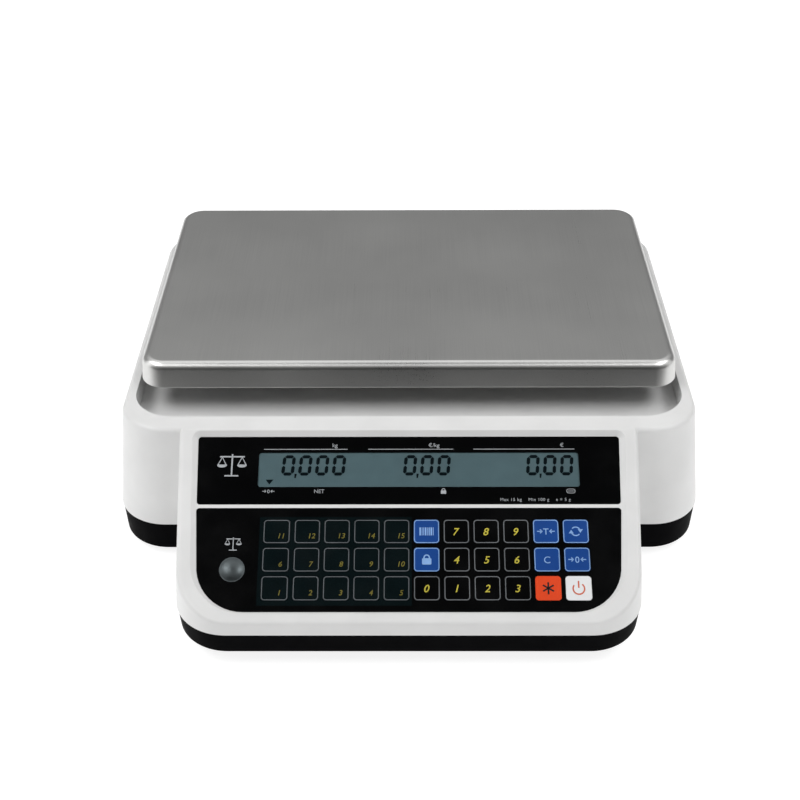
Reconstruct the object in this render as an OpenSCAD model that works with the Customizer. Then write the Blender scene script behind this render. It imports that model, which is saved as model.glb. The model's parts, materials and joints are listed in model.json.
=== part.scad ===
// Counter scale: stainless platter on a load cell, in a two-shell case with a sloped console.
// Millimetres. +X is the operator's right, +Y points from the operator to the back, +Z is up.
// The origin is the centre of the footprint, on the surface that the feet stand on.

/* [Case] */
// Width over the parting line
case_w = 380; // [370:1:400]
// Depth from the console's front to the back
case_d = 380; // [370:1:400]
// Height of the deck's rim above the surface
deck_z = 98; // [96:0.5:104]
// Height of the parting line between the white and the black shell
parting_z = 26.5; // [26:0.5:30]
// Height of the black shell's underside
base_z = 5; // [5:0.5:6]
// Plan radius of the case's vertical corners
corner_r = 33; // [26:1:38]
// Wall thickness of both shells
wall = 3; // [2.5:0.5:3.5]
// How far the side and back walls lean in between parting line and deck
side_draft = 7.5; // [5:0.5:9]
// How far the body's front wall leans in
front_draft = 5.3; // [4:0.1:8]

/* [Console] */
// How far the console stands out in front of the body
console_reach = 101.5; // [98:0.5:106]
// Width of the console at the parting line
console_w = 280; // [276:1:284]
// Width of the console's frame at the deck
frame_w = 284; // [280:1:288]
// Height of the console's upright front face
lip_z = 34.5; // [33:0.5:37]
// Depth of the panels below the frame
well_depth = 2.3; // [2:0.1:2.6]

/* [Keys] */
// Width of a key
key_w = 15.2; // [14:0.1:16.2]
// Height of a key along the slope
key_h = 14.8; // [14:0.1:16]
// Distance between key columns
key_pitch = 17.9; // [17.5:0.1:18.2]
// Distance between key rows
row_pitch = 17.65; // [17.2:0.05:18]
// Travel of a key
key_travel = 0.5; // [0.3:0.1:0.5]

/* [Platter] */
// Width of the platter
platter_w = 346; // [336:1:348]
// Depth of the platter
platter_d = 231; // [220:1:236]
// Height of the platter's top
platter_z = 118; // [117:0.5:124]
// Depth of the turned-down skirt
skirt_h = 15.4; // [14:0.1:16]
// Radius of the platter's rolled edge
platter_edge_r = 6; // [4:0.5:7]
// Plan radius of the platter's corners
platter_corner_r = 16; // [12:1:20]
// Sheet thickness of the platter
platter_t = 1.5; // [1:0.1:2]

/* [Hidden] */
$fn = 96;
front_y = -case_d / 2;
back_y = case_d / 2;
half_w = case_w / 2;
body_y = front_y + console_reach;
// The deck's front edge, where the console's slope starts
edge_y = body_y + front_draft;
lip_inset = 1;
slope = atan((deck_z - lip_z) / (edge_y - front_y - lip_inset));
edge_r = 3.5;
eps = 0.5;

// Deck recess and the load post's opening
recess_depth = 14;
recess_w = 351;
recess_front = edge_y + 14.2;
recess_back = back_y - side_draft - 7;
recess_r = 28;
// Underside of the deck
inner_top = deck_z - recess_depth - wall;
platter_y = 71.5;
platter_draft = 0.5;

// Distances down the slope from the deck's front edge
display_top = 3.9;
display_bottom = 48.5;
keypad_top = 50.7;
keypad_bottom = 115.5;
panel_half_top = 130.1;
panel_taper = 0.034;
panel_small_r = 2;
panel_large_r = 29;
bevel = 3.4;

// Heights above the frame's surface, along its normal
sheet_t = 0.8;
sheet_top = -well_depth;
pocket_floor = sheet_top - sheet_t;
panel_under = pocket_floor - wall;
board_t = 1.6;
board_bottom = panel_under - board_t;
key_t = 1.1;
key_gap = 0.25;
key_r = 2;
dome_gap = 0.1;

// Key layout: column 0 is a little wider than the others
first_key_w = 15.8;
first_key_x = -79.2;
second_key_x = -60.8;
first_row_s = 65.7;
key_opening = [-91, 111, 55.5, 110.5];

// LCD behind the display window: left, right, top and bottom along the slope
lcd_box = [-95.5, 107.5, 11.5, 40];
lcd_opening = [-97, 109, 10, 41.5];
rear_tilt = atan(side_draft / (deck_z - edge_r - parting_z - eps));
rear_window_size = [220, 36];
rear_window_t = 1.2;
rear_window_up = 38;
rear_lcd_size = [196, 24];

level_x = -104.9;
level_s = 89.5;
level_r = 7.3;

// Load cell and what carries it
cell_size = [130, 30, 22];
cell_z = 45;
cell_end = 30;
bolt_r = 3;
bolt_fit = 0.1;
bolt_offsets = [-9.5, 9.5];
post_gap = 0.6;
arm_z = 100;
arm_t = 6;
arm_w = 20;
pad_x = 135;
pad_dy = 85;
stop_gap = 1;

// Feet, battery and its cover
foot_r = 13;
foot_pad_t = 4;
stem_r = 4;
stem_top = 22;
stem_fit = 0.05;
rear_foot = [160, 160];
front_foot = [112, -160];
battery_pos = [-85, 135];
battery_size = [100, 70, 45];
cover_size = [112, 84];
cover_z = 3.2;
cover_t = 1.6;
cover_gap = 0.4;

// Screws that hold the shells together
screw_spots = [for (sx = [-1, 1], spot = [[168, -58], [168, 125], [127, -140]]) [sx * spot[0], spot[1]]];
screw_r = 1.5;
tower_z = 17;

// Base under the console sits higher than under the body
console_base_z = 11.2;
base_inset = 0.4;
base_wall = 4.5;
lip_in = 4;

jack_pos = [120, 16];
jack_r = 5;
jack_bore_r = 2.9;
jack_bore_l = 9;

board_pos = [40, -20];
board_size = [140, 96];
board_z = 16;

KEY_ROWS = [
    ["key_preset_11", "key_preset_12", "key_preset_13", "key_preset_14", "key_preset_15", "key_code",
     "key_digit_7", "key_digit_8", "key_digit_9", "key_tare", "key_change"],
    ["key_preset_6", "key_preset_7", "key_preset_8", "key_preset_9", "key_preset_10", "key_fix",
     "key_digit_4", "key_digit_5", "key_digit_6", "key_clear", "key_zero"],
    ["key_preset_1", "key_preset_2", "key_preset_3", "key_preset_4", "key_preset_5", "key_digit_0",
     "key_digit_1", "key_digit_2", "key_digit_3", "key_total", "key_power"]];
FEET = ["foot_front_left", "foot_front_right", "foot_rear_left", "foot_rear_right"];
foot_spots = [[-front_foot[0], front_foot[1]], front_foot, [-rear_foot[0], rear_foot[1]], rear_foot];

// ---- shared outlines and frames ----

// Points of an arc, from angle a to angle b
function arc(x, y, r, a, b, n = 12) =
    [for (i = [0 : n]) [x + r * cos(a + (b - a) * i / n), y + r * sin(a + (b - a) * i / n)]];

// Half the panel's width at a distance down the slope
function panel_half(s) = panel_half_top - panel_taper * (s - display_top);

// Outline of a panel between two distances down the slope, with its lower corners rounded by r
function panel_outline(top, bottom, r, grow = 0) =
    let (t = top - grow, b = bottom + grow, rs = panel_small_r + grow, rl = r + grow,
         wt = panel_half(top) + grow, wb = panel_half(bottom) + grow)
    concat(arc(wt - rs, -t - rs, rs, 0, 90), arc(-wt + rs, -t - rs, rs, 90, 180),
           arc(-wb + rl, -b + rl, rl, 180, 270), arc(wb - rl, -b + rl, rl, 270, 360));

function column_x(c) = c == 0 ? first_key_x : second_key_x + key_pitch * (c - 1);
function column_w(c) = c == 0 ? first_key_w : key_w;
function row_s(r) = first_row_s + row_pitch * r;

module round_rect(w, d, r) {
    square([w - 2 * r, d], center = true);
    square([w, d - 2 * r], center = true);
    for (sx = [-1, 1], sy = [-1, 1])
        translate([sx * (w / 2 - r), sy * (d / 2 - r)]) circle(r);
}

// Box between two corners of a rectangle [left, right, top, bottom] given down the slope
module slope_box(box, low, high) {
    translate([box[0], -box[3], low]) cube([box[1] - box[0], box[3] - box[2], high - low]);
}

// Children drawn on the console: x across, y up the slope, z out of the frame's surface
module on_panel() {
    translate([0, edge_y, deck_z]) rotate([slope, 0, 0]) children();
}

// Children drawn on the back wall: x to the left, y up the wall, z outwards
module on_rear() {
    translate([0, back_y, parting_z]) rotate([0, 0, 180]) rotate([90 - rear_tilt, 0, 0]) children();
}

// Plans of the case at the parting line, drawn in by a distance
module body_plan(inset) {
    translate([0, (body_y + back_y) / 2])
        round_rect(case_w - 2 * inset, back_y - body_y - 2 * inset, corner_r - inset);
}

module console_plan(inset) {
    depth = console_reach + 60;
    translate([0, front_y + depth / 2])
        round_rect(console_w - 2 * inset, depth - 2 * inset, corner_r - inset);
}

// ---- shells ----

module body_hull(inset, top, edge) {
    low_r = corner_r - inset;
    top_r = low_r - 2;
    hull() {
        for (sx = [-1, 1], y = [body_y + corner_r, back_y - corner_r])
            translate([sx * (half_w - corner_r), y, parting_z]) cylinder(r = low_r, h = eps);
        for (sx = [-1, 1], y = [body_y + front_draft + inset + top_r, back_y - side_draft - inset - top_r])
            translate([sx * (half_w - side_draft - inset - top_r), y, top]) rounded_disc(top_r, edge);
    }
}

// Disc whose top edge is rounded, its top face at z = 0
module rounded_disc(r, edge) {
    rotate_extrude() polygon(concat([[0, -edge], [0, 0]], arc(r - edge, -edge, edge, 90, 0, 6)));
}

// Height of the console's frame surface at a distance from the back of the console
function frame_z(y) = deck_z + (y - edge_y) * tan(slope);

module console_hull() {
    ball = edge_r - 0.5;
    low = ball / cos(slope);
    ring = corner_r - lip_inset - ball;
    front_c = [console_w / 2 - corner_r - 0.7, front_y + corner_r];
    back_c = edge_y + (low - ball) / tan(slope);
    hull() {
        for (sx = [-1, 1]) {
            translate([sx * (console_w / 2 - corner_r), front_c[1], parting_z]) cylinder(r = corner_r, h = eps);
            translate([sx * (console_w / 2 - 1), body_y + 15, parting_z]) cylinder(r = 1, h = eps);
            for (y = [back_c, back_c + 8])
                translate([sx * (frame_w / 2 - ball), y, deck_z - ball]) sphere(ball, $fn = 32);
            for (a = [0 : 7.5 : 90]) {
                p = [front_c[0] + ring * cos(a), front_c[1] - ring * sin(a)];
                translate([sx * p[0], p[1], frame_z(p[1]) - low]) sphere(ball, $fn = 32);
            }
        }
    }
}

// Everything deeper than a distance below the frame's surface
module under_frame(depth) {
    on_panel() translate([-case_w / 2, -case_d, -depth - case_d]) cube([case_w, 2 * case_d, case_d]);
}

// Space under the console's slope; it stops short of the deck recess
module console_hollow() {
    intersection() {
        union() {
            translate([0, 0, parting_z - 1]) linear_extrude(inner_top - parting_z + 1) console_plan(wall + 0.7);
            translate([0, 0, parting_z - 1]) linear_extrude(deck_z - 2 * wall - parting_z + 1) intersection() {
                console_plan(wall + 0.7);
                translate([-half_w, recess_front - wall - case_d]) square([case_w, case_d]);
            }
        }
        under_frame(-panel_under);
    }
}

// Well that both panels lie in, with sloped sides that are steepest at the bottom
module panel_well() {
    hull() {
        translate([0, 0, sheet_top]) linear_extrude(0.01)
            polygon(panel_outline(display_top, keypad_bottom, panel_large_r));
        translate([0, 0, 0.01]) linear_extrude(1)
            polygon(panel_outline(display_top, keypad_bottom - 2, panel_large_r, bevel));
    }
}

module upper_case() {
    color("whitesmoke")
    difference() {
        union() {
            difference() {
                union() {
                    body_hull(0, deck_z, edge_r);
                    console_hull();
                }
                translate([0, 0, -0.01]) body_hull(wall, inner_top, 1);
                console_hollow();
            }
            screw_bosses();
        }
        translate([0, (recess_front + recess_back) / 2, deck_z - recess_depth])
            linear_extrude(recess_depth + 5) round_rect(recess_w, recess_back - recess_front, recess_r);
        post_opening();
        on_panel() panel_cuts();
        on_rear() rear_cuts();
        for (spot = screw_spots)
            translate([spot[0], spot[1], tower_z - 1]) cylinder(r = screw_r, h = 14);
    }
}

module screw_bosses() {
    intersection() {
        for (spot = screw_spots)
            translate([spot[0], spot[1], tower_z]) cylinder(r = 4.5, h = inner_top + 1 - tower_z);
        under_frame(-pocket_floor + 1);
    }
}

module post_opening() {
    translate([cell_size[0] / 2 - cell_end - 7, platter_y - 22, deck_z - recess_depth - 6]) cube([44, 44, 10]);
}

module panel_cuts() {
    panel_well();
    translate([0, 0, pocket_floor]) linear_extrude(2) polygon(panel_outline(display_top, display_bottom, 2));
    translate([0, 0, pocket_floor]) linear_extrude(2)
        polygon(panel_outline(keypad_top, keypad_bottom, panel_large_r));
    slope_box(lcd_opening, panel_under - 1, 0);
    slope_box(key_opening, panel_under - 1, 0);
    translate([level_x, -level_s, -20]) cylinder(r = level_r + 0.1, h = 20);
}

module rear_cuts() {
    translate([0, rear_window_up, -rear_window_t]) linear_extrude(5)
        round_rect(rear_window_size[0], rear_window_size[1], 4);
    translate([-rear_lcd_size[0] / 2 - 2, rear_window_up - rear_lcd_size[1] / 2 - 2, -10])
        cube([rear_lcd_size[0] + 4, rear_lcd_size[1] + 4, 12]);
}

// Solid between the parting line and a lower height, with drafted sides and a rounded lower edge
module base_block(width, front, back, low) {
    r = corner_r - base_inset;
    hull() for (sx = [-1, 1], y = [front + corner_r, back - corner_r]) translate([sx * (width / 2 - corner_r), y, 0]) {
        translate([0, 0, parting_z - eps]) cylinder(r = r, h = eps);
        translate([0, 0, low]) mirror([0, 0, 1]) rounded_disc(r - 1, 2);
    }
}

module lower_case() {
    color("#161616")
    difference() {
        union() {
            difference() {
                union() {
                    base_block(case_w, body_y, back_y, base_z);
                    base_block(console_w, front_y, body_y + corner_r + 5, console_base_z);
                }
                translate([0, 0, base_z + wall]) linear_extrude(parting_z) body_plan(base_wall);
                translate([0, 0, console_base_z + wall]) linear_extrude(parting_z) console_plan(base_wall);
            }
            lip();
            for (spot = foot_spots)
                translate([spot[0], spot[1], foot_floor(spot[1])]) cylinder(r = 8, h = stem_top + 2 - foot_floor(spot[1]));
            for (spot = screw_spots)
                translate([spot[0], spot[1], foot_floor(spot[1])]) cylinder(r = 6, h = tower_z - foot_floor(spot[1]));
            board_standoffs();
            battery_cradle();
            cover_rails();
            translate([cell_size[0] / 2 - cell_end / 2, platter_y, base_z]) cylinder(r = 9, h = 9);
        }
        for (spot = foot_spots)
            translate([spot[0], spot[1], 0]) cylinder(r = stem_r + stem_fit, h = stem_top + 0.5);
        for (spot = screw_spots) {
            translate([spot[0], spot[1], 0]) cylinder(r = screw_r + 0.2, h = tower_z + 1);
            translate([spot[0], spot[1], 0]) cylinder(r = 3.6, h = foot_floor(spot[1]) + 3.5);
        }
        for (spot = standoff_spots) translate([spot[0], spot[1], base_z + 4]) cylinder(r = 1.3, h = 20);
        translate([battery_pos[0] - 51, battery_pos[1] - 36, 0]) cube([102, 72, 2 * parting_z]);
        translate([cell_size[0] / 2 - cell_end / 2, platter_y, base_z + 2]) cylinder(r = bolt_r, h = 20);
        translate([jack_pos[0], back_y - 12, jack_pos[1]]) rotate([-90, 0, 0]) cylinder(r = jack_r + 0.05, h = 20);
    }
}

function foot_floor(y) = y < body_y ? console_base_z : base_z;

// Rib that the upper shell's wall drops over
module lip() {
    translate([0, 0, parting_z - 3]) linear_extrude(4.5) difference() {
        union() {
            body_plan(lip_in);
            console_plan(lip_in);
        }
        body_plan(lip_in + 1.5);
        console_plan(lip_in + 1.5);
    }
}

standoff_spots = [for (sx = [-1, 1], sy = [-1, 1])
    [board_pos[0] + sx * (board_size[0] / 2 - 6), board_pos[1] + sy * (board_size[1] / 2 - 6)]];

module board_standoffs() {
    for (spot = standoff_spots) translate([spot[0], spot[1], base_z + 1]) cylinder(r = 4, h = board_z - base_z - 1);
}

module battery_cradle() {
    translate([battery_pos[0] - 53, battery_pos[1] - 38, base_z]) cube([106, 76, 24]);
}

// Rails under the floor that the battery cover slides in, open towards the back
module cover_rails() {
    rail = cover_size[0] / 2 + cover_gap;
    for (sx = [-1, 1]) {
        translate([battery_pos[0] + sx * (rail + 1.5) - 1.5, battery_pos[1] - 45, 1.8])
            cube([3, 90, base_z - 1.8 + 0.5]);
        translate([battery_pos[0] + sx * (rail - 0.5) - 2, battery_pos[1] - 45, 1.8]) cube([4, 90, 1.1]);
    }
    translate([battery_pos[0] - rail, battery_pos[1] - 45, 1.8]) cube([2 * rail, 2.4, base_z - 1.8 + 0.5]);
}

// ---- platter and load train ----

module platter_plan(inset, z, h) {
    translate([0, platter_y, z]) linear_extrude(h)
        round_rect(platter_w - 2 * inset, platter_d - 2 * inset, platter_corner_r - inset);
}

module platter_block() {
    side = [platter_w / 2 - platter_corner_r, platter_d / 2 - platter_corner_r];
    hull() {
        for (sx = [-1, 1], sy = [-1, 1]) translate([sx * side[0], platter_y + sy * side[1], platter_z])
            rounded_disc(platter_corner_r - platter_draft, platter_edge_r - platter_draft, $fn = 64);
        platter_plan(0, platter_z - skirt_h, 0.1, $fn = 64);
    }
}

module platter() {
    color("silver") difference() {
        platter_block();
        hull() {
            platter_plan(platter_t, platter_z - skirt_h - 1, 1, $fn = 64);
            platter_plan(platter_t + platter_draft, platter_z - platter_edge_r, 0.1, $fn = 64);
            platter_plan(platter_edge_r - 1, platter_z - platter_t - 0.1, 0.1, $fn = 64);
        }
    }
}

module platter_support() {
    post = [cell_size[0] / 2 - cell_end, platter_y - cell_size[1] / 2, cell_z + cell_size[2] + post_gap];
    color("lightgray") difference() {
        union() {
            translate([0, platter_y, arm_z]) linear_extrude(arm_t) {
                for (sx = [-1, 1]) rotate(sx * atan(pad_dy / pad_x)) square([2 * norm([pad_x, pad_dy]), arm_w], center = true);
                for (sx = [-1, 1], sy = [-1, 1]) translate([sx * pad_x, sy * pad_dy]) circle(arm_w * 0.7);
                square([150, 70], center = true);
            }
            translate(post) cube([cell_end, cell_size[1], arm_z - post[2] + 1]);
        }
        for (x = bolt_offsets)
            translate([cell_size[0] / 2 - cell_end / 2 + x, platter_y, post[2] - 1]) cylinder(r = bolt_r + 0.6, h = 20);
    }
}

module support_pads() {
    color("#222222") for (sx = [-1, 1], sy = [-1, 1])
        translate([sx * pad_x, platter_y + sy * pad_dy, arm_z + arm_t])
            cylinder(r1 = 10, r2 = 8, h = platter_z - platter_t - arm_z - arm_t);
}

module load_cell() {
    color("silver") difference() {
        translate([-cell_size[0] / 2, platter_y - cell_size[1] / 2, cell_z]) cube(cell_size);
        for (x = [-14, 14])
            translate([x, platter_y - 20, cell_z + cell_size[2] / 2]) rotate([-90, 0, 0]) cylinder(r = 8.5, h = 40);
        translate([-14, platter_y - 20, cell_z + cell_size[2] / 2 - 3]) cube([28, 40, 6]);
        for (sx = [-1, 1], x = bolt_offsets)
            translate([sx * (cell_size[0] / 2 - cell_end / 2) + x, platter_y, cell_z - 1])
                cylinder(r = bolt_r + bolt_fit, h = 30);
    }
}

module load_cell_bracket() {
    color("dimgray") difference() {
        union() {
            translate([-cell_size[0] / 2, platter_y - 15, base_z + wall]) cube([cell_end, 30, cell_z - base_z - wall]);
            translate([-cell_size[0] / 2 - 12, platter_y - 20, base_z + wall]) cube([cell_end + 24, 40, 5]);
        }
        for (x = bolt_offsets)
            translate([-cell_size[0] / 2 + cell_end / 2 + x, platter_y, cell_z - 15]) cylinder(r = bolt_r + bolt_fit, h = 20);
    }
}

// Hexagon head bolt pointing down from its head's underside at z = 0
module bolt(length) {
    translate([0, 0, -length]) cylinder(r = bolt_r, h = length);
    cylinder(r = 5.5, h = 4, $fn = 6);
}

module load_cell_bolts() {
    color("gray") for (x = bolt_offsets) {
        translate([-cell_size[0] / 2 + cell_end / 2 + x, platter_y, cell_z + cell_size[2]]) bolt(cell_size[2] + 13);
        translate([cell_size[0] / 2 - cell_end / 2 + x, platter_y, cell_z]) mirror([0, 0, 1]) bolt(cell_size[2] + 13);
    }
}

module overload_stop() {
    color("gray") translate([cell_size[0] / 2 - cell_end / 2, platter_y, 0]) {
        translate([0, 0, base_z + 3]) cylinder(r = bolt_r - 0.05, h = cell_z - 4 - stop_gap - base_z - 3);
        translate([0, 0, base_z + 9]) cylinder(r = 5.5, h = 4, $fn = 6);
    }
}

// ---- console ----

module display_window() {
    color("black") on_panel() translate([0, 0, pocket_floor]) linear_extrude(sheet_t)
        polygon(panel_outline(display_top, display_bottom, 2, -0.1));
}

module lcd_panel() {
    color("#7b8b8b") on_panel() slope_box(lcd_box, panel_under, pocket_floor);
}

module display_board() {
    color("darkgreen") on_panel() slope_box([-104, 116, 8, 46], board_bottom, panel_under);
}

module key_outline(c, r, grow) {
    translate([column_x(c), -row_s(r)]) round_rect(column_w(c) + 2 * grow, key_h + 2 * grow, key_r + grow);
}

module keypad_overlay() {
    color("#0a0a0a") on_panel() translate([0, 0, pocket_floor]) linear_extrude(sheet_t) difference() {
        polygon(panel_outline(keypad_top, keypad_bottom, panel_large_r, -0.1));
        for (c = [0 : 10], r = [0 : 2]) key_outline(c, r, key_gap);
        translate([level_x, -level_s]) circle(level_r + 0.1);
    }
}

module key(c, r) {
    color(key_color(c, r)) on_panel() translate([0, 0, sheet_top - key_t]) linear_extrude(key_t) key_outline(c, r, 0);
}

function key_color(c, r) =
    c == 9 && r == 2 ? "orangered" : c == 10 && r == 2 ? "white" :
    c > 8 || (c == 5 && r < 2) ? "royalblue" : "#101414";

module dome_sheet() {
    low = panel_under;
    top = sheet_top - key_t - key_travel - dome_gap;
    color("gray") on_panel() {
        slope_box([key_opening[0] + 1, key_opening[1] - 1, key_opening[2] + 1, key_opening[3] - 1], low, low + 0.6);
        for (c = [0 : 10], r = [0 : 2])
            translate([column_x(c), -row_s(r), low + 0.3]) cylinder(r1 = 4.5, r2 = 2.5, h = top - low - 0.3, $fn = 24);
    }
}

module keypad_board() {
    color("darkgreen") on_panel()
        slope_box([key_opening[0] - 3, key_opening[1] + 5, key_opening[2] - 4, key_opening[3] + 3], board_bottom, panel_under);
}

module bubble_level() {
    rise = 2.2;
    ball = (level_r * level_r + rise * rise) / (2 * rise);
    half = asin(level_r / ball);
    color("silver") on_panel() translate([level_x, -level_s, sheet_top]) rotate_extrude()
        polygon(concat([[0, -8], [0, rise]], arc(0, rise - ball, ball, 90, 90 - half, 8), [[level_r, -8]]));
}

// ---- inside the base ----

module main_board() {
    color("darkgreen") translate([board_pos[0], board_pos[1], board_z]) {
        translate([-board_size[0] / 2, -board_size[1] / 2, 0]) cube([board_size[0], board_size[1], board_t]);
        translate([-20, -10, board_t]) cube([22, 22, 2.2]);
        translate([15, 5, board_t]) cube([14, 20, 2.2]);
        translate([-60, 20, board_t]) cube([24, 8, 9]);
        translate([-60, -35, board_t]) cube([24, 8, 9]);
        for (x = [35, 50]) translate([x, -25, board_t]) cylinder(r = 5, h = 16);
    }
}

module battery() {
    color("#303438") translate([battery_pos[0], battery_pos[1], base_z]) {
        translate([-battery_size[0] / 2, -battery_size[1] / 2, 0]) cube(battery_size);
        for (x = [-40, -25]) translate([x, 15, battery_size[2]]) cube([1, 6, 6]);
    }
}

module battery_cover() {
    color("#202020") difference() {
        translate([battery_pos[0] - cover_size[0] / 2, battery_pos[1] - cover_size[1] / 2, cover_z])
            cube([cover_size[0], cover_size[1], cover_t]);
        for (i = [0 : 3]) translate([battery_pos[0] - 15, battery_pos[1] + 22 + 4 * i, cover_z - 1]) cube([30, 1.5, 1.6]);
    }
}

module power_jack() {
    depth = 14;
    color("#101010") translate([jack_pos[0], back_y - 1.6, jack_pos[1]]) rotate([90, 0, 0]) difference() {
        union() {
            cylinder(r = jack_r, h = depth);
            translate([-6, -5.5, 4]) cube([12, 11, depth - 4]);
        }
        translate([0, 0, -1]) cylinder(r = jack_bore_r, h = jack_bore_l + 1);
    }
}

module rear_window() {
    color("black") on_rear() translate([0, rear_window_up, -rear_window_t]) linear_extrude(rear_window_t - 0.2)
        round_rect(rear_window_size[0] - 0.4, rear_window_size[1] - 0.4, 3.8);
}

module rear_lcd() {
    color("#7b8b8b") on_rear()
        translate([-rear_lcd_size[0] / 2, rear_window_up - rear_lcd_size[1] / 2, -rear_window_t - 2.5])
            cube([rear_lcd_size[0], rear_lcd_size[1], 2.5]);
}

module case_screws() {
    color("gray") for (spot = screw_spots) translate([spot[0], spot[1], foot_floor(spot[1]) + 0.8]) {
        cylinder(r = 3.2, h = 2.4);
        cylinder(r = screw_r - 0.05, h = tower_z + 10 - foot_floor(spot[1]));
    }
}

module foot(spot) {
    color("#181818") translate([spot[0], spot[1], 0]) {
        cylinder(r1 = foot_r, r2 = foot_r - 1, h = foot_pad_t);
        cylinder(r = stem_r, h = stem_top);
    }
}

// ---- assembly ----

upper_case();
lower_case();
platter();
platter_support();
support_pads();
load_cell();
load_cell_bracket();
load_cell_bolts();
overload_stop();
display_window();
lcd_panel();
display_board();
keypad_overlay();
dome_sheet();
keypad_board();
bubble_level();
main_board();
battery();
battery_cover();
power_jack();
rear_window();
rear_lcd();
case_screws();
for (i = [0 : 3]) foot(foot_spots[i]);
for (c = [0 : 10], r = [0 : 2]) key(c, r);
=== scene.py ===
"""Looks of the counter scale: materials, printed legends, displays and the drawn platter over the CAD frame.

Units are metres in the CAD frame. Sizes on the console and on the rear display are millimetres.
"""
import json
import math

import bmesh
import bpy
from mathutils import Matrix, Vector


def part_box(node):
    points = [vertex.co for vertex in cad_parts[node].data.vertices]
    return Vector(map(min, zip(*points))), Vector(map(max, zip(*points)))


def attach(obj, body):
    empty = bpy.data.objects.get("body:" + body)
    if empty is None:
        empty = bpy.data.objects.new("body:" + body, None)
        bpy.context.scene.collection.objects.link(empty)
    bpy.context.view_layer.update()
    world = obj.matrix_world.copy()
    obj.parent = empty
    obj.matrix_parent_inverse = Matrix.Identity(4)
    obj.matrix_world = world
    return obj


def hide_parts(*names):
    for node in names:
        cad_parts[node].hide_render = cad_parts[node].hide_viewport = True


MM = 0.001
PRINT = 0.03  # thickness of a printed legend, mm
CONSOLE = (0, -0.5, 0.86)  # roughly the way that the console's sheets face
OUTLINE, LEGEND = 0, 1  # the two inks of a key
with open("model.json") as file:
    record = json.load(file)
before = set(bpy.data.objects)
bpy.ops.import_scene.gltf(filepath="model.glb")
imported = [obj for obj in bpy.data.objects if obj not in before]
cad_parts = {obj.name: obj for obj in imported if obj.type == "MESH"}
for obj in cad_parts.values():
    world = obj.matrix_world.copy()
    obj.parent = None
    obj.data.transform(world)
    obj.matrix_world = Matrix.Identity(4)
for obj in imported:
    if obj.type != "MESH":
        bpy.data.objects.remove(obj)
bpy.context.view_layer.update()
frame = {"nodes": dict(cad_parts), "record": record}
nodes = frame["nodes"]


# ---------------------------------------------------------------- surfaces to draw on

class Surface:
    """A flat CAD face to draw on: x to the reader's right, t down from its top edge, h out of it, in mm."""

    def __init__(self, node, facing, right):
        mesh = nodes[node].data
        facing = Vector(facing)
        seen = [p for p in mesh.polygons if p.normal.dot(facing) > 0.8]
        self.normal = max(seen, key=lambda p: p.area).normal.normalized()
        self.right = Vector(right)
        self.up = self.normal.cross(self.right)
        points = [v.co for v in mesh.vertices]
        self.origin = (self.normal * max(p.dot(self.normal) for p in points)
                       + self.up * max(p.dot(self.up) for p in points))

    def at(self, x, t, h=0.0):
        return self.origin + (self.right * x - self.up * t + self.normal * h) * MM

    def spot(self, node):
        """Centre of a CAD node as (x, t), in mm."""
        low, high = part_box(node)
        offset = (low + high) / 2 - self.origin
        return offset.dot(self.right) / MM, -offset.dot(self.up) / MM

    def size(self, node):
        """Width and height of a CAD node on this surface, in mm."""
        along = [v.co.dot(self.up) for v in nodes[node].data.vertices]
        across = [v.co.dot(self.right) for v in nodes[node].data.vertices]
        return (max(across) - min(across)) / MM, (max(along) - min(along)) / MM


# ---------------------------------------------------------------- outlines

CORNER_STEPS = 6


def bow(cx, cy, rx, ry, start, end, steps):
    """Points of an elliptical arc, angles in degrees."""
    angles = [math.radians(start + (end - start) * i / steps) for i in range(steps + 1)]
    return [(cx + rx * math.cos(a), cy + ry * math.sin(a)) for a in angles]


def arc(cx, cy, r, start, end, steps):
    return bow(cx, cy, r, r, start, end, steps)


def rounded(cx, cy, w, h, r, steps=CORNER_STEPS):
    """Rounded rectangle, starting in its +x +y corner."""
    x, y = w / 2 - r, h / 2 - r
    corners = ((x, y, 0), (-x, y, 90), (-x, -y, 180), (x, -y, 270))
    return [p for ox, oy, a in corners for p in arc(cx + ox, cy + oy, r, a, a + 90, steps)]


def stroke(points, width, closed=False):
    """Quads that follow a line of points with mitred corners."""
    count = len(points)
    sides = []
    for i, (x, y) in enumerate(points):
        before = points[i - 1] if closed or i else None
        after = points[(i + 1) % count] if closed or i < count - 1 else None
        turns = []
        for a, b in ((before, (x, y)), ((x, y), after)):
            if a and b and a != b:
                length = math.dist(a, b)
                turns.append(Vector(((a[1] - b[1]) / length, (b[0] - a[0]) / length)))
        mitre = (turns[0] + turns[-1]) / 2
        mitre = mitre / max(mitre.length_squared, 0.25) * width / 2
        sides.append(((x + mitre.x, y + mitre.y), (x - mitre.x, y - mitre.y)))
    ends = sides[1:] + sides[:1] if closed else sides[1:]
    return [[a[0], b[0], b[1], a[1]] for a, b in zip(sides, ends)]


CAPITAL = 0.73  # height of a capital in Blender's own font, as a part of the font size


def glyphs(text, height, slant=0.0, weight=0.0, spacing=1.0):
    """Points and faces of a line of text, centred on its own box; height is that of a capital, in mm."""
    curve = bpy.data.curves.new("glyphs", "FONT")
    curve.body = text
    curve.shear = slant
    curve.offset = weight
    curve.space_character = spacing
    curve.resolution_u = 4
    holder = bpy.data.objects.new("glyphs", curve)
    bpy.context.scene.collection.objects.link(holder)
    bpy.context.view_layer.update()
    mesh = holder.to_mesh()
    points = [(v.co.x, v.co.y) for v in mesh.vertices]
    faces = [tuple(p.vertices) for p in mesh.polygons]
    holder.to_mesh_clear()
    bpy.data.objects.remove(holder)
    bpy.data.curves.remove(curve)
    scale = height / CAPITAL
    middle = (min(p[0] for p in points) + max(p[0] for p in points)) / 2
    return [((x - middle) * scale, y * scale) for x, y in points], faces


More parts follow.
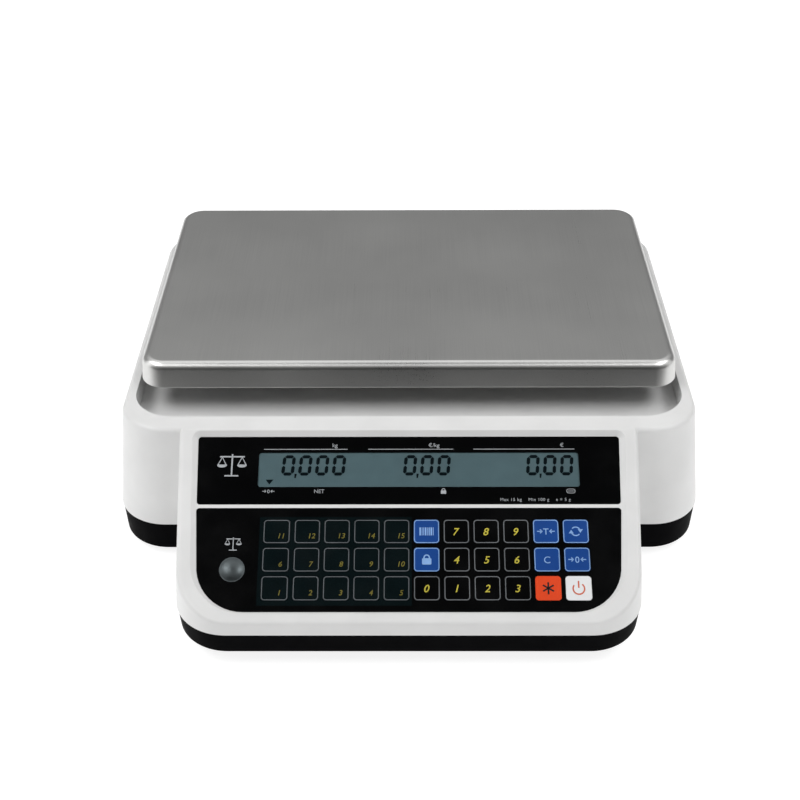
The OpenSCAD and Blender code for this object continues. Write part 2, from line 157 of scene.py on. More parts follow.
class Drawing:
    """Thin printed or cut shapes on a surface, joined into one mesh."""

    def __init__(self, surface):
        self.surface = surface
        self.points = []
        self.faces = []
        self.inks = []

    def face(self, corners, ink):
        self.faces.append(corners)
        self.inks.append(ink)

    def shape(self, outline, low=0.0, high=PRINT, ink=0):
        """A prism on an outline of (x, t) points."""
        area = sum(a[0] * b[1] - b[0] * a[1] for a, b in zip(outline, outline[1:] + outline[:1]))
        if area > 0:
            outline = outline[::-1]
        first, count = len(self.points), len(outline)
        for h in (low, high):
            self.points += [self.surface.at(x, t, h) for x, t in outline]
        self.face([first + count + i for i in range(count)], ink)
        self.face([first + i for i in reversed(range(count))], ink)
        for i in range(count):
            j = (i + 1) % count
            self.face([first + i, first + j, first + count + j, first + count + i], ink)

    def line(self, points, width, closed=False, high=PRINT, ink=0):
        for quad in stroke(points, width, closed):
            self.shape(quad, 0.0, high, ink)

    def text(self, text, x, t, height, ink=0, **style):
        """Text centred on x with its baseline at t."""
        points, faces = glyphs(text, height, **style)
        first, count = len(self.points), len(points)
        for h in (PRINT, 0.0):
            self.points += [self.surface.at(x + px, t - py, h) for px, py in points]
        for corners in faces:
            self.face([first + i for i in corners], ink)
            self.face([first + count + i for i in reversed(corners)], ink)

    def sheet(self, outer, inner, low, high, ink=0):
        """A flat sheet with a window: both outlines have the same number of points, in the same order."""
        first, count = len(self.points), len(outer)
        for outline, h in ((outer, high), (inner, high), (inner, low), (outer, low)):
            self.points += [self.surface.at(x, t, h) for x, t in outline]
        for i in range(count):
            j = (i + 1) % count
            for k in range(4):
                a, b = first + k * count, first + (k + 1) % 4 * count
                self.face([a + i, b + i, b + j, a + j], ink)

    def make(self, name, body, slot, *inks):
        mesh = bpy.data.meshes.new(name)
        mesh.from_pydata(self.points, [], self.faces)
        mesh.polygons.foreach_set("material_index", self.inks)
        for ink in inks:
            mesh.materials.append(ink)
        return new_piece(name, mesh, body)


def new_piece(name, mesh, body):
    """An object that rides on a body."""
    piece = bpy.data.objects.new(name, mesh)
    bpy.context.scene.collection.objects.link(piece)
    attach(piece, body)
    return piece


# ---------------------------------------------------------------- materials

class Look:
    """A Principled material whose colour, roughness and bump come from noise in the object's own space."""

    def __init__(self, name, metallic=0.0, specular=0.5):
        self.material = bpy.data.materials.new(name)
        self.material.use_nodes = True
        self.tree = self.material.node_tree
        self.shader = self.tree.nodes["Principled BSDF"]
        self.shader.inputs["Metallic"].default_value = metallic
        self.shader.inputs["Specular IOR Level"].default_value = specular
        self.bumped = None

    def node(self, kind, **settings):
        made = self.tree.nodes.new(kind)
        for key, value in settings.items():
            setattr(made, key, value)
        return made

    def link(self, source, target):
        self.tree.links.new(source, target)

    def math(self, operation, a, b=0.0):
        made = self.node("ShaderNodeMath", operation=operation)
        for socket, value in zip(made.inputs, (a, b)):
            if isinstance(value, (int, float)):
                socket.default_value = value
            else:
                self.link(value, socket)
        return made.outputs[0]

    def blend(self, a, b, share):
        """Sum of a and b, with that share of a."""
        return self.math("ADD", self.math("MULTIPLY", a, share), self.math("MULTIPLY", b, 1 - share))

    def noise(self, size, detail=3.0, stretch=(1, 1, 1)):
        """Noise with features of about that size in metres, longer along an axis by its stretch."""
        coords = self.node("ShaderNodeTexCoord")
        mapping = self.node("ShaderNodeMapping")
        mapping.inputs["Scale"].default_value = [1 / (size * s) for s in stretch]
        texture = self.node("ShaderNodeTexNoise")
        texture.inputs["Scale"].default_value = 1.0
        texture.inputs["Detail"].default_value = detail
        self.link(coords.outputs["Object"], mapping.inputs["Vector"])
        self.link(mapping.outputs["Vector"], texture.inputs["Vector"])
        return texture.outputs["Fac"]

    def ramp(self, value, stops):
        made = self.node("ShaderNodeValToRGB")
        ramp = made.color_ramp
        while len(ramp.elements) < len(stops):
            ramp.elements.new(0.5)
        for element, (place, color) in zip(ramp.elements, stops):
            element.position = place
            element.color = (*color, 1)
        self.link(value, made.inputs["Fac"])
        return made.outputs["Color"]

    def color(self, value, dark, light, low=0.3, high=0.7):
        self.link(self.ramp(value, [(low, dark), (high, light)]), self.shader.inputs["Base Color"])

    def roughness(self, value, low, high):
        made = self.node("ShaderNodeMapRange")
        made.inputs["From Min"].default_value = 0.3
        made.inputs["From Max"].default_value = 0.7
        made.inputs["To Min"].default_value = low
        made.inputs["To Max"].default_value = high
        self.link(value, made.inputs["Value"])
        self.link(made.outputs["Result"], self.shader.inputs["Roughness"])

    def bump(self, value, depth, strength=1.0):
        made = self.node("ShaderNodeBump")
        made.inputs["Distance"].default_value = depth
        made.inputs["Strength"].default_value = strength
        self.link(value, made.inputs["Height"])
        if self.bumped:
            self.link(self.bumped, made.inputs["Normal"])
        self.bumped = made.outputs["Normal"]
        self.link(self.bumped, self.shader.inputs["Normal"])


def shade(color, factor):
    return tuple(min(1.0, c * factor) for c in color)


def moulded(name, color, roughness=0.45, grain=0.00045, depth=0.00002, specular=0.5):
    """Fine-textured moulded plastic or rubber."""
    look = Look(name, specular=specular)
    look.color(look.noise(0.03), shade(color, 0.96), shade(color, 1.03))
    look.roughness(look.noise(0.008), roughness - 0.05, roughness + 0.06)
    look.bump(look.noise(grain, detail=1.0), depth)
    return look.material


def gloss(name, color, roughness=0.1, vary=0.12, specular=0.5):
    """Printed or painted gloss surface with faint smears and orange peel."""
    look = Look(name, specular=specular)
    look.color(look.noise(0.012), shade(color, 1 - vary), shade(color, 1 + vary))
    look.roughness(look.noise(0.02, detail=5.0), max(0.02, roughness - 0.03), roughness + 0.05)
    look.bump(look.noise(0.004, detail=1.0), 0.000004)
    return look.material


def metal(name, color, roughness, grain=0.0006, stretch=(1, 1, 1), depth=0.000004):
    """Cast, plated or machined metal."""
    look = Look(name, metallic=1.0)
    grained = look.noise(grain, stretch=stretch)
    look.color(look.noise(0.02), shade(color, 0.92), shade(color, 1.06))
    look.roughness(grained, roughness - 0.06, roughness + 0.08)
    look.bump(grained, depth)
    return look.material


def brushed_steel():
    """Drawn stainless sheet, brushed from front to back."""
    look = Look("platter_steel_look", metallic=1.0)
    strands = look.noise(0.0005, detail=4.0, stretch=(1, 160, 1))
    clouds = look.noise(0.09)
    look.color(look.blend(strands, clouds, 0.4), (0.61, 0.61, 0.60), (0.71, 0.71, 0.695))
    look.roughness(look.blend(strands, clouds, 0.5), 0.27, 0.35)
    look.bump(strands, 0.000006)
    look.shader.inputs["Anisotropic"].default_value = 0.6
    across = look.node("ShaderNodeCombineXYZ")
    across.inputs["X"].default_value = 1.0
    look.link(across.outputs[0], look.shader.inputs["Tangent"])
    return look.material


def clear_pane():
    """Clear gloss polycarbonate over a display: seen through, with the surface's own reflection."""
    look = Look("clear_pane_look")
    look.tree.nodes.remove(look.shader)
    through = look.node("ShaderNodeBsdfTransparent")
    through.inputs["Color"].default_value = (0.93, 0.95, 0.94, 1)
    shine = look.node("ShaderNodeBsdfGlossy")
    smears = look.node("ShaderNodeMapRange")
    smears.inputs["To Min"].default_value = 0.03
    smears.inputs["To Max"].default_value = 0.09
    look.link(look.noise(0.02, detail=5.0), smears.inputs["Value"])
    look.link(smears.outputs["Result"], shine.inputs["Roughness"])
    fresnel = look.node("ShaderNodeFresnel")
    fresnel.inputs["IOR"].default_value = 1.5
    mix = look.node("ShaderNodeMixShader")
    look.link(fresnel.outputs[0], mix.inputs[0])
    look.link(through.outputs[0], mix.inputs[1])
    look.link(shine.outputs[0], mix.inputs[2])
    look.link(mix.outputs[0], look.tree.nodes["Material Output"].inputs["Surface"])
    return look.material


def overlay_black(surface, left, right, top, bottom):
    """Black foil with a faintly green window behind the preset keys, its edges in mm on the surface."""
    look = Look("overlay_black_look")
    coords = look.node("ShaderNodeTexCoord")
    middle = surface.at((left + right) / 2, (top + bottom) / 2)

    def within(axis, half):
        """1 where a point is less than half from the middle along an axis, else 0."""
        along = look.node("ShaderNodeVectorMath", operation="DOT_PRODUCT")
        look.link(coords.outputs["Object"], along.inputs[0])
        along.inputs[1].default_value = axis
        offset = look.math("ABSOLUTE", look.math("SUBTRACT", along.outputs["Value"], middle.dot(axis)))
        return look.math("LESS_THAN", offset, half * MM)

    across, down = within(surface.right, (right - left) / 2), within(surface.up, (bottom - top) / 2)
    inside = look.math("MULTIPLY", across, down)
    mottled = look.math("MULTIPLY", inside, look.math("ADD", look.noise(0.015), 0.5))
    look.color(mottled, BLACK, PRESET, low=0.0, high=1.0)
    look.roughness(look.noise(0.02, detail=5.0), 0.09, 0.16)
    look.bump(look.noise(0.004, detail=1.0), 0.000004)
    return look.material


def circuit_board():
    """Green solder mask with faint copper tracks under it."""
    look = Look("board_green_look")
    tracks = look.node("ShaderNodeTexBrick")
    coords = look.node("ShaderNodeTexCoord")
    look.link(coords.outputs["Object"], tracks.inputs["Vector"])
    tracks.inputs["Scale"].default_value = 160.0
    tracks.inputs["Mortar Size"].default_value = 0.03
    tracks.inputs["Color1"].default_value = (0.015, 0.11, 0.05, 1)
    tracks.inputs["Color2"].default_value = (0.012, 0.09, 0.045, 1)
    tracks.inputs["Mortar"].default_value = (0.05, 0.2, 0.09, 1)
    look.link(tracks.outputs["Color"], look.shader.inputs["Base Color"])
    look.roughness(look.noise(0.01), 0.25, 0.4)
    return look.material


BLACK = (0.0012, 0.0013, 0.0015)
PRESET = (0.0022, 0.006, 0.007)
WHITE_ABS = (0.78, 0.78, 0.775)
INKS = {
    "grey": gloss("ink_grey_look", (0.16, 0.17, 0.18), 0.3),
    "dim_grey": gloss("ink_dim_grey_look", (0.12, 0.13, 0.14), 0.3),
    "yellow": gloss("ink_yellow_look", (0.55, 0.47, 0.05), 0.3),
    "dim_yellow": gloss("ink_dim_yellow_look", (0.17, 0.14, 0.016), 0.3),
    "white": gloss("ink_white_look", (0.42, 0.44, 0.46), 0.3),
    "sky": gloss("ink_sky_look", (0.24, 0.42, 0.74), 0.3),
    "black": gloss("ink_black_look", (0.006, 0.006, 0.007), 0.3),
    "red": gloss("ink_red_look", (0.62, 0.12, 0.05), 0.3),
    "lcd": gloss("lcd_segment_look", (0.001, 0.009, 0.014), 0.3, specular=0.1),
}
LOOKS = {
    "case_white": moulded("case_white_look", WHITE_ABS, 0.42),
    "base_black": moulded("base_black_look", (0.001, 0.001, 0.0014), 0.55, specular=0.02),
    "platter_steel": brushed_steel(),
    "carrier_aluminium": metal("carrier_aluminium_look", (0.6, 0.6, 0.61), 0.45, 0.0009, depth=0.00003),
    "pad_rubber": moulded("pad_rubber_look", (0.012, 0.012, 0.012), 0.7, specular=0.3),
    "cell_aluminium": metal("cell_aluminium_look", (0.72, 0.72, 0.73), 0.3, 0.0004, (40, 1, 1)),
    "bracket_steel": metal("bracket_steel_look", (0.42, 0.42, 0.4), 0.4, 0.002),
    "screw_steel": metal("screw_steel_look", (0.5, 0.5, 0.48), 0.32, 0.001),
    "window_black": gloss("window_black_look", BLACK, 0.08),
    "lcd_grey": gloss("lcd_grey_look", (0.21, 0.32, 0.36), 0.22, vary=0.05),
    "board_green": circuit_board(),
    "key_black": gloss("key_black_look", BLACK, 0.12),
    "key_blue": gloss("key_blue_look", (0.012, 0.062, 0.27), 0.16, vary=0.05),
    "key_orange": gloss("key_orange_look", (0.80, 0.075, 0.022), 0.16, vary=0.04),
    "key_white": gloss("key_white_look", (0.86, 0.87, 0.88), 0.16, vary=0.02),
    "dome_rubber": moulded("dome_rubber_look", (0.35, 0.35, 0.36), 0.6),
    "level_silver": metal("level_silver_look", (0.10, 0.115, 0.12), 0.4, 0.003),
    "battery_grey": moulded("battery_grey_look", (0.03, 0.033, 0.037), 0.5),
    "jack_black": moulded("jack_black_look", (0.008, 0.008, 0.008), 0.4),
    "foot_rubber": moulded("foot_rubber_look", (0.008, 0.008, 0.008), 0.7, specular=0.25),
}


# ---------------------------------------------------------------- smooth copies of CAD nodes

WELD = 0.002 * MM  # points closer than this are one
FLAT = math.radians(0.4)  # facets that turn less than this are merged
SHARP = math.radians(28)  # edges that turn more than this stay crisp


def even_shading(piece, keep_sharp=False):
    weighted = piece.modifiers.new("even_shading", "WEIGHTED_NORMAL")
    weighted.keep_sharp = keep_sharp
    weighted.weight = 100


def smooth_copy(node, slot, name):
    """The CAD node's own shape with its facets shaded as the curved surfaces they stand for."""
    mesh = bpy.data.meshes.new(name)
    shape = bmesh.new()
    shape.from_mesh(nodes[node].data)
    bmesh.ops.remove_doubles(shape, verts=shape.verts, dist=WELD)
    bmesh.ops.dissolve_limit(shape, angle_limit=FLAT, verts=shape.verts, edges=shape.edges)
    for face in shape.faces:
        face.smooth = True
    for edge in shape.edges:
        edge.smooth = edge.calc_face_angle(0.0) < SHARP
    shape.to_mesh(mesh)
    shape.free()
    mesh.materials.clear()
    mesh.materials.append(LOOKS[slot])
    piece = new_piece(name, mesh, body_of(node))
    even_shading(piece, keep_sharp=True)
    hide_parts(node)


def body_of(node):
    bodies = frame["record"]["behaviour"]["bodies"]
    return next(name for name, members in bodies.items() if node in members)


# ---------------------------------------------------------------- platter

def drawn_platter():
    """Pressed steel tray with a rolled edge and a hem, flared most in front and behind."""
    low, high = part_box("platter")
    middle = (low + high) / 2
    size = high - low
    depth = size.z / MM
    corner, sheet, roll = 16.0, 1.5, 6.0
    side_flare, front_flare = 3, 20
    plain_from = 40.0  # inset at which the tray's flat part is closed by a single face
    hem = arc(sheet / 2, sheet / 2, sheet / 2, 360, 180, 6)

    def section(flare):
        """Profile from the underside round the hem to the top, as (inset, height)."""
        roll_x = roll + math.tan(math.radians(flare)) * (depth - roll)
        outer = arc(roll_x, depth - roll, roll, 180 - flare, 90, 14)
        inner = arc(roll_x, depth - roll, roll - sheet, 90, 180 - flare, 6)
        rim = [(roll_x + 8, depth), (plain_from, depth)]
        return [(plain_from, depth - sheet)] + inner + hem + outer + rim

    rings = []
    for (side, z), (front, front_z) in zip(section(side_flare), section(front_flare)):
        w, d = size.x / MM - 2 * side, size.y / MM - 2 * front
        outline = rounded(0, 0, w, d, max(corner - side, 1.5), 16)
        rings.append([Vector((middle.x + x * MM, middle.y + y * MM, low.z + (z + front_z) / 2 * MM))
                      for x, y in outline])
    shape = bmesh.new()
    loops = [[shape.verts.new(p) for p in ring] for ring in rings]
    for a, b in zip(loops, loops[1:]):
        for i in range(len(a)):
            j = (i + 1) % len(a)
            shape.faces.new((a[i], a[j], b[j], b[i]))
    shape.faces.new(loops[0])
    shape.faces.new(reversed(loops[-1]))
    bmesh.ops.recalc_face_normals(shape, faces=shape.faces)
    for face in shape.faces:
        face.smooth = True
    mesh = bpy.data.meshes.new("platter_tray")
    shape.to_mesh(mesh)
    shape.free()
    mesh.materials.append(LOOKS["platter_steel"])
    piece = new_piece("platter_tray", mesh, "platter")
    even_shading(piece)
    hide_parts("platter")


# ---------------------------------------------------------------- printed marks

def draw_balance(drawing, x, t, size, width):
    """Generic balance mark: a beam on a stand with two hanging pans."""
    def bar(x1, t1, x2, t2):
        drawing.line([(x + x1 * size, t + t1 * size), (x + x2 * size, t + t2 * size)], width)
    bar(-0.45, -0.32, 0.45, -0.32)
    bar(0, -0.42, 0, 0.4)
    bar(-0.25, 0.42, 0.25, 0.42)
    for side in (-1, 1):
        px = x + side * size * 0.36
        cords = [(px, t - size * 0.3), (px - size * 0.15, t), (px + size * 0.15, t)]
        drawing.line(cords, width * 0.6, closed=True)
        drawing.shape(bow(px, t, size * 0.18, size * 0.1, 0, 180, 9))


def draw_arrow(drawing, x, t, reach, head, width, ink=0):
    """Arrow of a signed length whose tip is at x."""
    way = math.copysign(1, reach)
    drawing.line([(x - reach, t), (x, t)], width, ink=ink)
    drawing.line([(x - way * head, t - head), (x, t), (x - way * head, t + head)], width, ink=ink)


def draw_lock(drawing, x, t, size, ink=0):
    """Padlock: a rounded body under a shackle."""
    drawing.shape(rounded(x, t + size * 0.2, size, size * 0.7, size * 0.12), ink=ink)
    shackle = bow(x, t - size * 0.15, size * 0.3, size * 0.36, 180, 360, 9)
    drawing.line(shackle, size * 0.14, ink=ink)


def draw_bars(drawing, x, t, ink):
    """Strip of bars of uneven width, for looking an article up."""
    width, height, gap = 8.5, 5.0, 0.7
    pattern = (1.4, 0.6, 0.6, 1.4, 0.6, 1.0, 1.4, 0.6)
    unit = width / (sum(pattern) + gap * (len(pattern) - 1))
    top, bottom = t - height / 2, t + height / 2
    left = x - width / 2
    for bar in pattern:
        right = left + bar * unit
        drawing.shape([(left, top), (right, top), (right, bottom), (left, bottom)], ink=ink)
        left = right + gap * unit


def draw_swap(drawing, x, t, ink):
    """Two arrows that chase each other round a ring."""
    for flip in (1, -1):
        drawing.line(bow(x, t, 2.7 * flip, -2.7 * flip, 20, 140, 8), 0.7, ink=ink)
        head = ((1.2, -1.3), (4.3, -1.3), (2.75, 0.9))
        drawing.shape([(x + hx * flip, t + ht * flip) for hx, ht in head], ink=ink)


def draw_power(drawing, x, t, ink):
    """Open ring with a bar in its gap."""
    drawing.line(arc(x, t + 0.3, 3.4, -52, 218, 18), 0.85, ink=ink)
    drawing.line([(x, t - 4.4), (x, t - 0.2)], 0.85, ink=ink)


def draw_asterisk(drawing, x, t, ink):
    """Three crossed bars."""
    for angle in (0, 60, 120):
        dx, dy = 3.7 * math.sin(math.radians(angle)), 3.7 * math.cos(math.radians(angle))
        drawing.line([(x - dx, t - dy), (x + dx, t + dy)], 1.0, ink=ink)


def draw_bracketed(drawing, text, x, t, ink):
    """A character between two arrows that point at it."""
    drawing.text(text, x, t + 2.0, 4.0, ink, weight=0.01)
    for side in (-1, 1):
        draw_arrow(drawing, x + side * 2.3, t, -side * 3.0, 1.2, 0.6, ink)


# ---------------------------------------------------------------- displays

FRONT_DIGITS = {"width": 7.9, "height": 13.5, "pitch": 10.35, "thick": 2.1, "low": -0.79}
REAR_DIGITS = {"width": 6.8, "height": 11.4, "pitch": 9.6, "thick": 1.25, "low": -0.99}
ZERO = (((0, 0), (1, 0)), ((1, 0), (1, 1)), ((1, 1), (1, 2)),
        ((0, 2), (1, 2)), ((0, 1), (0, 2)), ((0, 0), (0, 1)))  # ends of the six lit segments
SLANT = 0.09
SEGMENT_GAP = 0.16


def draw_zero(drawing, left, top, width, height, thick, low):
    """A seven-segment zero in a box whose upper left corner is at left, top, before it is slanted."""
    step = (width - thick, (height - thick) / 2)
    for ends in ZERO:
        a, b = (Vector((thick / 2 + x * step[0], thick / 2 + y * step[1])) for x, y in ends)
        along = (b - a).normalized()
        side = Vector((-along.y, along.x)) * thick / 2
        a, b = a + along * SEGMENT_GAP, b - along * SEGMENT_GAP
        bevel = along * thick / 2
        outline = [a, a + bevel + side, b - bevel + side, b, b - bevel - side, a + bevel - side]
        slanted = [(left + p.x + SLANT * (height - p.y), top + p.y) for p in outline]
        drawing.shape(slanted, low, low + PRINT)


def draw_number(drawing, right, top, digits, width, height, pitch, thick, low):
    """Zeros that end at right, with a comma after the first; low is their depth under the sheet's face."""
    for i in range(digits):
        left = right - (digits - 1 - i) * pitch - width
        draw_zero(drawing, left, top, width, height, thick, low)
        if i == 0:
            x, y = left + width + (pitch - width) / 2, top + height
            comma = [(x - 0.75, y - 1.2), (x + 0.7, y - 1.2), (x + 0.1, y + 1.7), (x - 0.75, y + 1.5)]
            drawing.shape(comma, low, low + PRINT)


def windowed_sheet(name, surface, node, outline, pane, thickness):
    """Black gloss sheet with a clear pane set in it, in place of a plain CAD sheet."""
    corner, set_back = 1.6, 0.02
    window = rounded(*pane, corner)
    sheet = Drawing(surface)
    sheet.sheet(outline, window, -thickness, 0.0)
    piece = sheet.make(name, "case", "window_black", LOOKS["window_black"])
    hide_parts(node)
    clear = Drawing(surface)
    clear.points = [surface.at(x, t, -set_back) for x, t in window]
    clear.face(list(reversed(range(len(window)))), 0)  # wound to face outwards
    clear.make(name + "_pane", "case", "lcd_grey", clear_pane())


def panel_outline(surface, node):
    """Corners of a console sheet that is wider at its top, matched point by point with rounded()."""
    width, height = surface.size(node)
    r = 2.0
    taper = 0.034 * height
    x, y = width / 2 - r, height - r
    corners = ((x - taper, y, 0), (-x + taper, y, 90), (-x, r, 180), (x, r, 270))
    return [p for cx, cy, a in corners for p in arc(cx, cy, r, a, a + 90, CORNER_STEPS)]


def front_display():
    """Sheet, pane, three groups of digits and the printed legends of the operator's display."""
    surface = Surface("display_window", CONSOLE, (1, 0, 0))
    pane = (6.2, 21.75, 196.4, 22.7)
    outline = panel_outline(surface, "display_window")
    windowed_sheet("display_sheet", surface, "display_window", outline, pane, 0.8)
    digits = Drawing(surface)
    for right, count in ((-39.3, 4), (25.1, 3), (100.4, 3)):
        draw_number(digits, right, 11.9, count, **FRONT_DIGITS)
    low = FRONT_DIGITS["low"]
    digits.shape([(-87.4, 28.0), (-82.6, 28.0), (-85.0, 31.2)], low, low + PRINT)
    digits.make("front_digits", "case", "lcd_grey", INKS["lcd"])
    legend = Drawing(surface)
    for left, right in ((-89.2, -37.6), (-24.8, 27.6), (40.0, 102.2)):
        legend.line([(left, 8.3), (right, 8.3)], 0.4)
    for word, x in (("kg", -45.3), ("€/kg", 15.8), ("€", 94.5)):
        legend.text(word, x, 6.9, 2.7)
    draw_balance(legend, -108.4, 18.6, 17.0, 0.9)
    legend.text("0", -85.3, 37.1, 2.4)
    for side in (-1, 1):
        draw_arrow(legend, -85.3 + side * 1.5, 35.9, -side * 2.2, 0.8, 0.35)
    legend.text("NET", -54.3, 37.1, 2.5)
    draw_lock(legend, 21.3, 35.9, 3.2)
    legend.line(rounded(98.7, 35.9, 5.0, 2.6, 1.2), 0.35, closed=True)
    legend.line([(96.9, 35.9), (100.5, 35.9)], 0.35)
    legend.text("Max 15 kg    Min 100 g    e = 5 g", 77.0, 42.3, 2.0, spacing=1.15)
    legend.make("display_legend", "case", "window_black", INKS["white"])


def rear_display():
    """The customer's display in the back wall, built like the operator's."""
    surface = Surface("rear_window", (0, 1, 0), (-1, 0, 0))
    width, height = surface.size("rear_window")
    outline = rounded(0, height / 2, width, height, 3.8)
    pane = (0, height / 2, 188.0, 20.0)
    windowed_sheet("rear_sheet", surface, "rear_window", outline, pane, 1.0)
    digits = Drawing(surface)
    for right, count in ((-46.0, 4), (18.0, 3), (88.0, 3)):
        draw_number(digits, right, height / 2 - 5.6, count, **REAR_DIGITS)
    digits.make("rear_digits", "case", "lcd_grey", INKS["lcd"])
    legend = Drawing(surface)
    for word, x in (("kg", -66.0), ("€/kg", 4.0), ("€", 74.0)):
        legend.text(word, x, 5.6, 2.7)
    legend.make("rear_legend", "case", "window_black", INKS["white"])


# ---------------------------------------------------------------- keypad

FUNCTION_LEGENDS = {
    "key_code": draw_bars,
    "key_fix": lambda drawing, x, t, ink: draw_lock(drawing, x, t, 5.6, ink),
    "key_tare": lambda drawing, x, t, ink: draw_bracketed(drawing, "T", x, t, ink),
    "key_change": draw_swap,
    "key_clear": lambda drawing, x, t, ink: drawing.text("C", x, t + 2.3, 4.4, ink),
    "key_zero": lambda drawing, x, t, ink: draw_bracketed(drawing, "0", x, t, ink),
    "key_total": draw_asterisk,
    "key_power": draw_power,
}


def key_inks(kind, slot):
    """Names of the inks of a key's outline and of its legend."""
    if kind == "preset":
        return "dim_grey", "dim_yellow"
    if kind == "digit":
        return "grey", "yellow"
    return {"key_blue": ("sky", "sky"), "key_white": ("grey", "red")}.get(slot, ("grey", "black"))


def key_face(surface, name, slot):
    """Printed outline and legend of one key, riding on it."""
    x, t = surface.spot(name)
    width, height = surface.size(name)
    kind, _, number = name.removeprefix("key_").rpartition("_")
    drawing = Drawing(surface)
    if slot in ("key_black", "key_blue"):
        drawing.line(rounded(x, t, width - 0.7, height - 0.7, 1.8), 0.5, closed=True, ink=OUTLINE)
    if kind == "preset":
        drawing.text(number, x + 2.9, t + 4.3, 3.3, LEGEND, slant=0.2, weight=0.012, spacing=1.05)
    elif kind == "digit":
        drawing.text(number, x, t + 2.4, 4.7, LEGEND, slant=0.25, weight=0.012)
    else:
        FUNCTION_LEGENDS[name](drawing, x, t, LEGEND)
    drawing.make(name + "_print", name, slot, *(INKS[ink] for ink in key_inks(kind, slot)))


def keypad():
    """Foil, key prints and the marks beside the keys."""
    surface = Surface("keypad_overlay", CONSOLE, (1, 0, 0))
    LOOKS["overlay_black"] = overlay_black(surface, -89.6, 1.9, 5.8, 60.8)
    LOOKS["key_preset"] = gloss("key_preset_look", PRESET, 0.12)
    slots = {part["node"]: part["material_slot"] for part in frame["record"]["subparts"]}
    for name in sorted(n for n in nodes if n.startswith("key_")):
        key_face(surface, name, slots[name])
    mark = Drawing(surface)
    draw_balance(mark, -105.0, 22.6, 9.5, 0.55)
    mark.make("panel_mark", "case", "overlay_black", INKS["white"])


def bubble():
    """Silvered ring round the level's dome."""
    surface = Surface("keypad_overlay", CONSOLE, (1, 0, 0))
    x, t = surface.spot("bubble_level")[0], bubble_centre(surface)
    radius = surface.size("bubble_level")[0] / 2
    outer, inner = (arc(x, t, r, 0, 355, 71) for r in (radius + 0.35, radius - 0.5))
    ring = Drawing(surface)
    ring.sheet(outer, inner, 0.0, 0.12)
    ring.make("level_ring", "case", "level_silver", LOOKS["level_silver"])


def bubble_centre(surface):
    """Distance of the level's axis down the surface, in mm."""
    along = [(v.co - surface.origin).dot(surface.up) for v in nodes["bubble_level"].data.vertices]
    return -(min(along) + max(along)) / 2 / MM


# ---------------------------------------------------------------- CAD nodes

def dress_nodes():
    """Gives every CAD node that stays in view its material."""
    for part in frame["record"]["subparts"]:
        name, slot = part["node"], part["material_slot"]
        look = "key_preset" if name.startswith("key_preset") else slot
        mesh = nodes[name].data
        mesh.materials.clear()
        mesh.materials.append(LOOKS[look])


# ---------------------------------------------------------------- studio

def floor():
    """Plain pale floor, lit until it reads as white."""
    shape = bmesh.new()
    half = 6
    corners = ((-half, -half), (half, -half), (half, half), (-half, half))
    shape.faces.new([shape.verts.new((x, y, 0)) for x, y in corners])
    bmesh.ops.subdivide_edges(shape, edges=shape.edges, cuts=8, use_grid_fill=True)
    mesh = bpy.data.meshes.new("studio_floor")
    shape.to_mesh(mesh)
    shape.free()
    look = Look("studio_floor_look", specular=0.2)
    look.color(look.noise(0.4), (0.36, 0.36, 0.36), (0.38, 0.38, 0.38))
    look.roughness(look.noise(0.2), 0.75, 0.85)
    look.shader.inputs["Emission Color"].default_value = (1, 1, 1, 1)
    look.shader.inputs["Emission Strength"].default_value = 0.86
    mesh.materials.append(look.material)
    piece = bpy.data.objects.new("studio_floor", mesh)
    bpy.context.scene.collection.objects.link(piece)


def softbox(name, place, aim, size, power):
    """Rectangular soft light at a place, turned to an aim point."""
    light = bpy.data.lights.new(name, "AREA")
    light.shape = "RECTANGLE"
    light.size, light.size_y = size
    light.energy = power
    holder = bpy.data.objects.new(name, light)
    holder.location = place
    holder.rotation_euler = (Vector(aim) - Vector(place)).to_track_quat("-Z", "Y").to_euler()
    bpy.context.scene.collection.objects.link(holder)


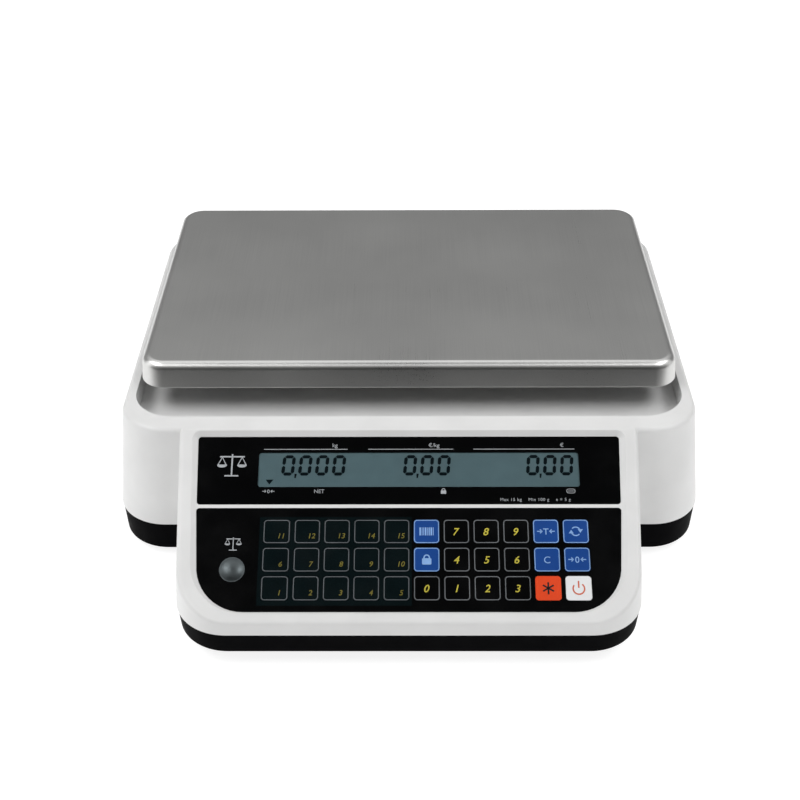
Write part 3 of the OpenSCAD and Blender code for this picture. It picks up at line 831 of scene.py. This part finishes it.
def studio_light():
    """Soft boxes behind, above and at the sides, in a plain room that is darker in front and overhead."""
    softbox("key_softbox", (-0.1, 0.75, 1.85), (0, 0, 0.05), (2.4, 1.3), 3)
    for side, overhead, low in ((-1, 11.5, 4.6), (1, 10, 2.6)):
        softbox("overhead_softbox", (side * 1.1, -0.35, 1.55), (0, 0, 0.05), (1.4, 0.55), overhead)
        softbox("side_softbox", (side * 1.9, -0.1, 0.6), (0, 0, 0.1), (1.1, 1.1), low)
    world = bpy.data.worlds.new("studio")
    world.use_nodes = True
    tree = world.node_tree
    coords = tree.nodes.new("ShaderNodeTexCoord")

    def toward(direction, low, high, start, end):
        """Brightness that goes from start to end as the look direction turns towards a direction."""
        along = tree.nodes.new("ShaderNodeVectorMath")
        along.operation = "DOT_PRODUCT"
        along.inputs[1].default_value = direction
        tree.links.new(coords.outputs["Generated"], along.inputs[0])
        made = tree.nodes.new("ShaderNodeMapRange")
        made.interpolation_type = "SMOOTHSTEP"
        for socket, value in (("From Min", low), ("From Max", high), ("To Min", start), ("To Max", end)):
            made.inputs[socket].default_value = value
        tree.links.new(along.outputs["Value"], made.inputs["Value"])
        return made.outputs["Result"]

    room = toward((0, 0, 1), 0.0, 0.9, 0.35, 0.75)
    for other in (toward((0, -0.208, 0.978), 0.955, 0.985, 1.0, 0.03),
                  toward((0, -1, 0), 0.4, 0.92, 1.0, 0.03),
                  toward((0, 1, 0), 0.55, 0.9, 1.0, 0.5),
                  toward((1, 0, 0), 0.45, 0.85, 1.0, 0.3),
                  toward((-1, 0, 0), 0.45, 0.85, 1.0, 0.4)):
        made = tree.nodes.new("ShaderNodeMath")
        made.operation = "MULTIPLY"
        tree.links.new(room, made.inputs[0])
        tree.links.new(other, made.inputs[1])
        room = made.outputs[0]
    tree.links.new(room, tree.nodes["Background"].inputs["Strength"])
    tree.nodes["Background"].inputs["Color"].default_value = (1, 1, 1, 1)
    bpy.context.scene.world = world
    bpy.context.scene.view_settings.view_transform = "Standard"


def camera():
    """Front view from a little right of the middle, looking down at the console."""
    pitch, yaw, roll = (math.radians(a) for a in (34.38, -0.56, -0.40))
    ahead = Vector((math.sin(yaw) * math.cos(pitch), math.cos(yaw) * math.cos(pitch), -math.sin(pitch)))
    level = Vector((math.cos(yaw), -math.sin(yaw), 0))
    upright = level.cross(ahead)
    right = math.cos(roll) * level + math.sin(roll) * upright
    top = -math.sin(roll) * level + math.cos(roll) * upright
    data = bpy.data.cameras.new("camera")
    data.sensor_width = 36
    data.lens = 61.3
    holder = bpy.data.objects.new("camera", data)
    turn = Matrix((right, top, -ahead)).transposed().to_4x4()
    holder.matrix_world = Matrix.Translation(Vector((0.0016, -0.7688, 0.5892))) @ turn
    bpy.context.scene.collection.objects.link(holder)
    bpy.context.scene.camera = holder


camera()
studio_light()
floor()
drawn_platter()
front_display()
rear_display()
keypad()
bubble()
dress_nodes()
smooth_copy("upper_case", "case_white", "upper_shell")
smooth_copy("lower_case", "base_black", "lower_shell")
